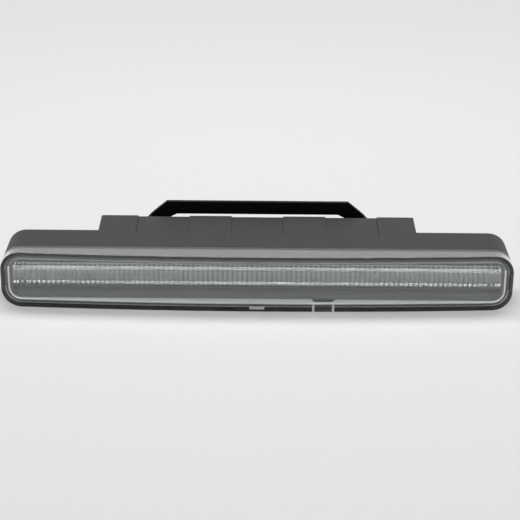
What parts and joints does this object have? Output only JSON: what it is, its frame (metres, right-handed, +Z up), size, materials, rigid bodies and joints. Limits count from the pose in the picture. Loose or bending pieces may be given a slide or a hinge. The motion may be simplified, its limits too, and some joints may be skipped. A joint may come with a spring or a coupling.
{
  "type": "daytime running light",
  "caption": "Slim bar lamp for a car: bowed clear cover over a fluted light bar, dark deep housing, folded steel bracket with a window behind it.",
  "frame": {"origin": "middle of the lamp's length and of its depth over all, at the height of its lowest face", "axes": "+X along the lamp, +Y from the clear cover to the bracket, +Z up"},
  "size_m": [0.219, 0.054, 0.0292],
  "materials": {
    "rear_housing": "fine satin moulded grain",
    "cover_lens": "clear, polished",
    "lens_seal": "matte",
    "trim_frame": "bright metallised",
    "bar_carrier": "satin",
    "light_bar": "clear, fluted",
    "led_board": "white solder mask",
    "leds": "resin",
    "board_resistors": "matte",
    "thermal_pad": "soft matte",
    "heat_sink": "extruded",
    "small_screws": "zinc plated",
    "driver_board": "green solder mask",
    "filter_inductor": "ferrite",
    "filter_capacitors": "drawn can",
    "driver_chip": "moulded epoxy",
    "supply_header": "matte",
    "brass": "turned",
    "cable_grommet": "matte",
    "vent_cap": "matte",
    "vent_membrane": "porous film",
    "mounting_bracket": "satin black coat",
    "bracket_washers": "zinc plated",
    "bracket_screws": "dark zinc plated"
  },
  "bodies": {
    "root": {"rear_housing": "rear_housing", "cover_lens": "cover_lens", "lens_seal": "lens_seal", "trim_frame": "trim_frame", "bar_carrier": "bar_carrier", "light_bar": "light_bar", "led_board": "led_board", "leds": "leds", "board_resistors": "board_resistors", "thermal_pad": "thermal_pad", "heat_sink": "heat_sink", "board_screws": "small_screws", "driver_board": "driver_board", "driver_screws": "small_screws", "filter_inductor": "filter_inductor", "filter_capacitors": "filter_capacitors", "driver_chip": "driver_chip", "protection_diodes": "driver_chip", "supply_header": "supply_header", "link_header": "driver_chip", "link_pins": "brass", "cable_grommet": "cable_grommet", "vent_cap": "vent_cap", "vent_membrane": "vent_membrane", "threaded_inserts": "brass", "mounting_bracket": "mounting_bracket", "bracket_washers": "bracket_washers", "bracket_screws": "bracket_screws"}
  },
  "joints": []
}
